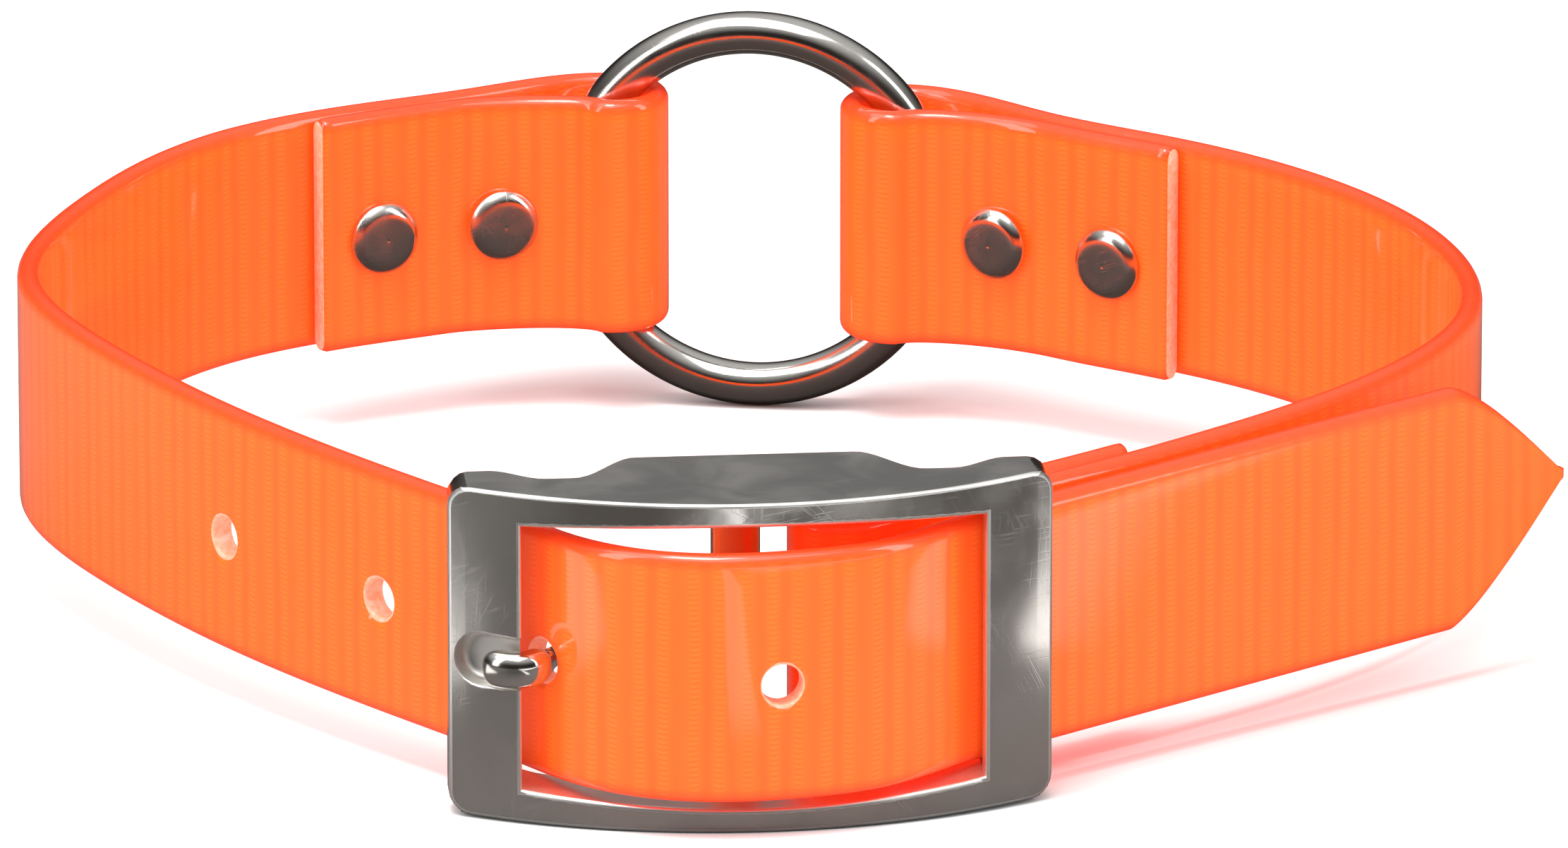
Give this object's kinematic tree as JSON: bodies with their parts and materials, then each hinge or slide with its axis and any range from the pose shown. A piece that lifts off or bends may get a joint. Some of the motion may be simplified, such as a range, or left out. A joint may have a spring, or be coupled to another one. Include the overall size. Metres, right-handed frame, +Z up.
{
  "type": "dog collar",
  "caption": "Loop collar of glossy coated webbing: riveted folds hold a metal ring behind, a curved frame buckle with a tongue closes it in front, and the pointed tail stands out.",
  "frame": {"origin": "on the surface it rests on, under the middle of the whole collar's box", "axes": "+Z up, +Y from the buckle to the ring, +X to the side that the tail points to"},
  "size_m": [0.1602, 0.1654, 0.0438],
  "materials": {
    "orange_webbing": "woven webbing under a clear glossy coat",
    "nickel": "polished nickel with fine scratches"
  },
  "bodies": {
    "collar": {"long_strap": "orange_webbing", "short_strap": "orange_webbing", "buckle_frame": "nickel", "buckle_tongue": "nickel", "ring_rivet_left_inner": "nickel", "ring_rivet_left_outer": "nickel", "ring_rivet_right_inner": "nickel", "ring_rivet_right_outer": "nickel", "buckle_rivet_near": "nickel", "buckle_rivet_far": "nickel"},
    "ring": {"center_ring": "nickel"}
  },
  "joints": [
    {"name": "ring_spin", "type": "hinge", "parent": "collar", "child": "ring", "pos_m": [-0.00335, 0.07403, 0.0219], "axis": [0.1305, 0.9914, 0.0066], "continuous": true}
  ]
}
